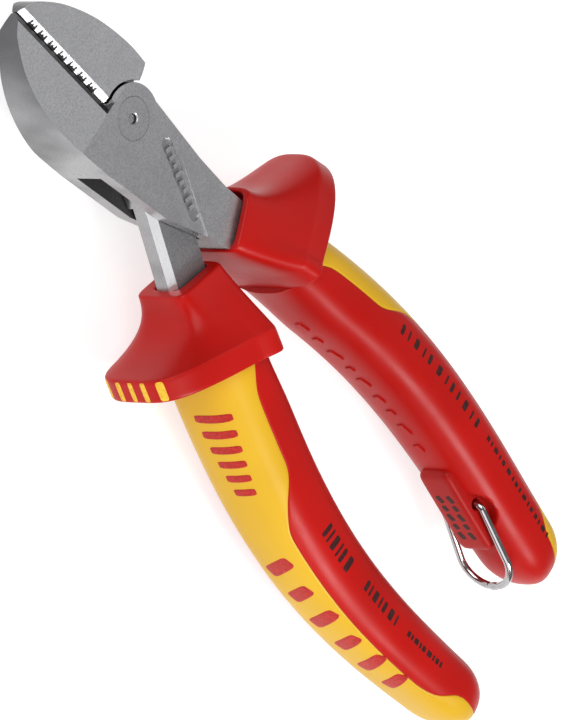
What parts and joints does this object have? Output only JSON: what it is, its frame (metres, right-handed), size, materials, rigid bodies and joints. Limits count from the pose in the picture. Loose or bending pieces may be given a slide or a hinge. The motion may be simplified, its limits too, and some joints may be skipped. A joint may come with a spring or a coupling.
{
  "type": "diagonal cutting pliers",
  "caption": "Compact high-leverage diagonal cutter with insulated two-colour grips, finger guards and a swinging tether ring.",
  "frame": {"origin": "centre of the pivot axle's back end, on the back face of the joint", "axes": "+Y to the jaw tips, +X to the right seen from the front, +Z out of the front face"},
  "size_m": [0.0562, 0.16, 0.0242],
  "materials": {
    "steel": "forged and ground tool steel, satin, thinly oiled",
    "axle_steel": "ground flush with the cheeks",
    "cover_red": "satin moulded insulating plastic",
    "zone_yellow": "satin moulded insulating plastic",
    "liner_yellow": "moulded warning layer under the cover",
    "boss_red": "satin moulded plastic",
    "ring_chrome": "polished stainless wire, butt welded"
  },
  "bodies": {
    "fixed_half": {"outer_jaw_half": "steel", "pivot_axle": "axle_steel", "right_grip_liner": "liner_yellow", "right_grip_cover": "cover_red", "right_grip_back_zone": "zone_yellow", "tether_boss": "boss_red"},
    "moving_half": {"inner_jaw_half": "steel", "left_grip_liner": "liner_yellow", "left_grip_cover": "cover_red", "left_grip_back_zone": "zone_yellow"},
    "tether_ring": {"tether_ring": "ring_chrome"}
  },
  "joints": [
    {"name": "jaw_pivot", "type": "hinge", "parent": "fixed_half", "child": "moving_half", "pos_m": [0, 0, 0.0055], "axis": [0, 0, -1], "range_deg": [0, 32]},
    {"name": "tether_ring_swing", "type": "hinge", "parent": "fixed_half", "child": "tether_ring", "pos_m": [0.0081, -0.1071, 0.0055], "axis": [0, 0, -1], "range_deg": [-4, 140]}
  ]
}
